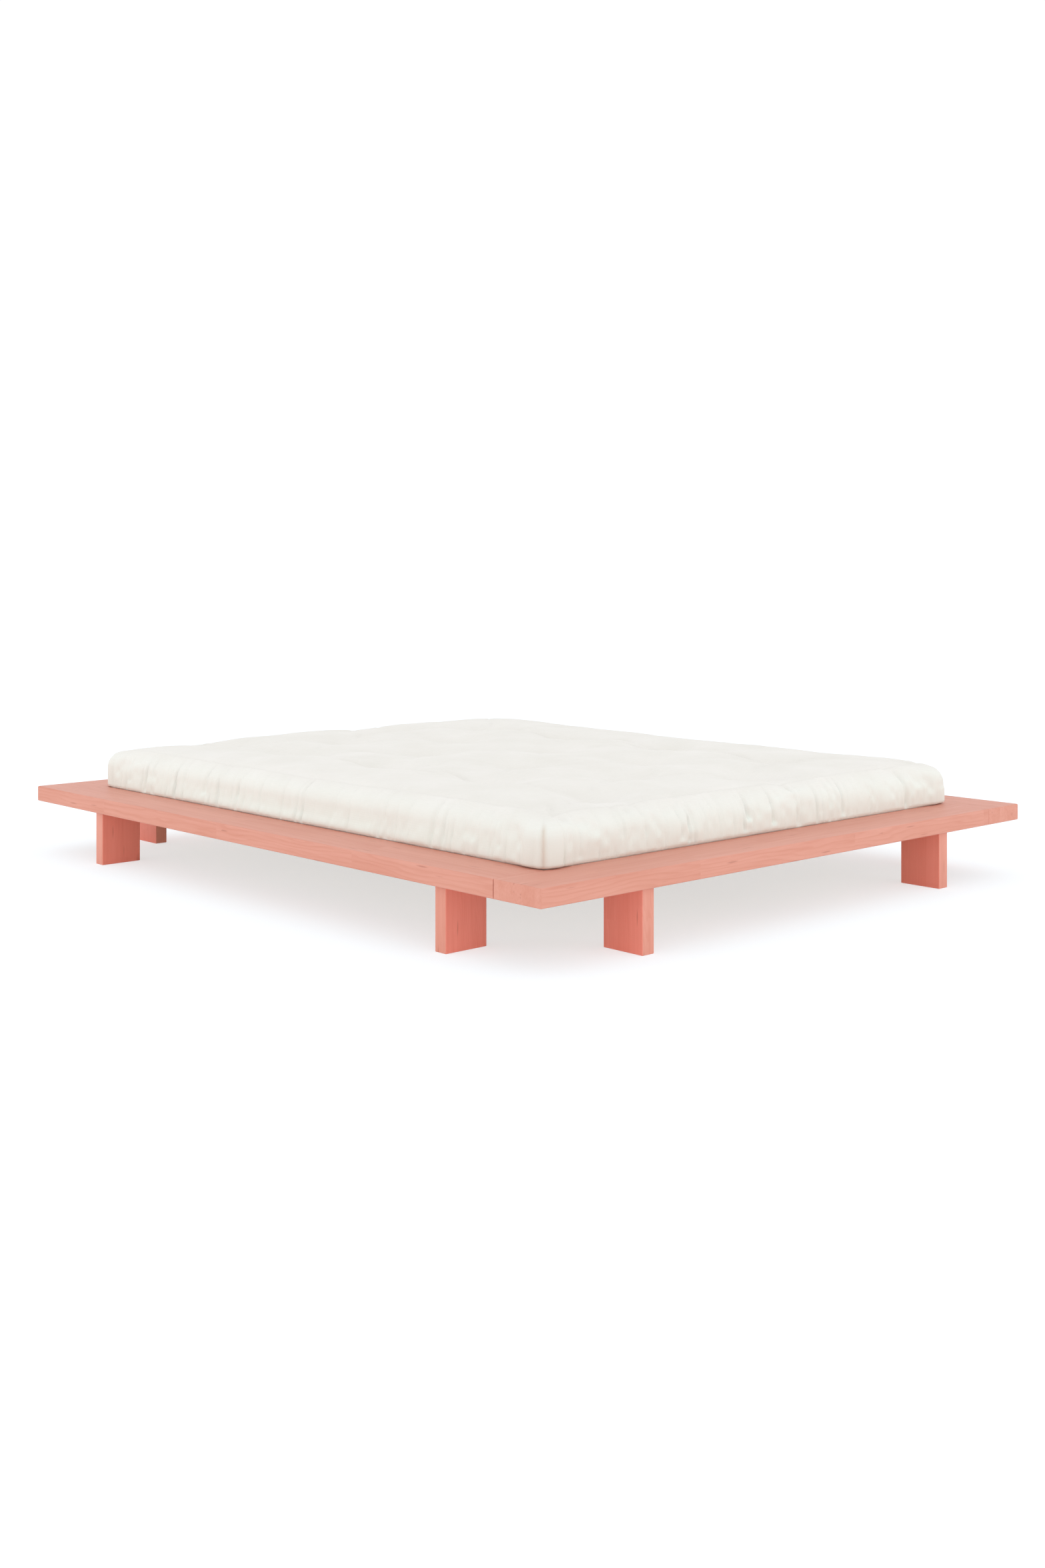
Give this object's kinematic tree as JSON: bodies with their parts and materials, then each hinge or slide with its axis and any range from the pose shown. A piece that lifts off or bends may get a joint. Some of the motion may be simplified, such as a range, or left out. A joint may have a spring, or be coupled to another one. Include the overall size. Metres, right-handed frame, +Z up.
{
  "type": "platform bed frame",
  "caption": "Low pine platform bed: wide flat boards round a mattress recess on upright board legs, with slats, a centre beam and a tufted futon.",
  "frame": {"origin": "on the floor under the centre of the bed", "axes": "+X across the bed towards its right side, +Y along the bed towards its head end, +Z up"},
  "size_m": [1.96, 2.36, 0.3303],
  "materials": {
    "stained_pine": "pine under a thin coral stain and a satin lacquer, faint grain and small knots",
    "raw_pine": "planed pine, untreated",
    "beech_dowel": "fluted beech, raw",
    "black_steel": "bent sheet steel, black powder coat",
    "zinc_steel": "zinc plated steel",
    "brass_insert": "machined brass",
    "black_plastic": "moulded plastic, fine texture",
    "cotton_tape": "woven cotton tape",
    "natural_cotton": "unbleached plain cotton cover, gathered sides, tufted top"
  },
  "bodies": {
    "bed_frame": {"side_rail_left": "stained_pine", "side_rail_right": "stained_pine", "end_board_foot": "stained_pine", "end_board_head": "stained_pine", "leg_left_head": "stained_pine", "leg_left_foot": "stained_pine", "leg_right_head": "stained_pine", "leg_right_foot": "stained_pine", "leg_foot_left": "stained_pine", "leg_foot_right": "stained_pine", "leg_head_left": "stained_pine", "leg_head_right": "stained_pine", "leg_dowels": "beech_dowel", "corner_dowels": "beech_dowel", "leg_brackets": "black_steel", "leg_bracket_screws": "zinc_steel", "corner_plates": "black_steel", "corner_plate_screws": "zinc_steel", "slat_rail_left": "black_steel", "slat_rail_right": "black_steel", "slat_rail_screws": "zinc_steel", "centre_beam": "raw_pine", "beam_hanger_foot": "black_steel", "beam_hanger_head": "black_steel", "beam_hanger_screws": "zinc_steel", "centre_leg": "raw_pine", "centre_leg_stud": "zinc_steel", "foot_insert": "brass_insert"},
    "levelling_foot": {"levelling_foot_pad": "black_plastic", "levelling_foot_rod": "zinc_steel"},
    "slat_roll": {"slat_01": "raw_pine", "slat_02": "raw_pine", "slat_03": "raw_pine", "slat_04": "raw_pine", "slat_05": "raw_pine", "slat_06": "raw_pine", "slat_07": "raw_pine", "slat_08": "raw_pine", "slat_09": "raw_pine", "slat_10": "raw_pine", "slat_11": "raw_pine", "slat_12": "raw_pine", "slat_13": "raw_pine", "slat_14": "raw_pine", "slat_15": "raw_pine", "slat_16": "raw_pine", "slat_17": "raw_pine", "slat_tape_left": "cotton_tape", "slat_tape_right": "cotton_tape", "slat_staples": "zinc_steel"},
    "futon": {"futon_mattress": "natural_cotton"}
  },
  "joints": [
    {"name": "slat_roll_lift", "type": "slide", "parent": "bed_frame", "child": "slat_roll", "axis": [0, 0, 1], "range_m": [0, 0.25]},
    {"name": "futon_lift", "type": "slide", "parent": "slat_roll", "child": "futon", "axis": [0, 0, 1], "range_m": [0, 0.4]},
    {"name": "foot_adjust", "type": "slide", "parent": "bed_frame", "child": "levelling_foot", "axis": [0, 0, 1], "range_m": [0, 0.01]}
  ]
}
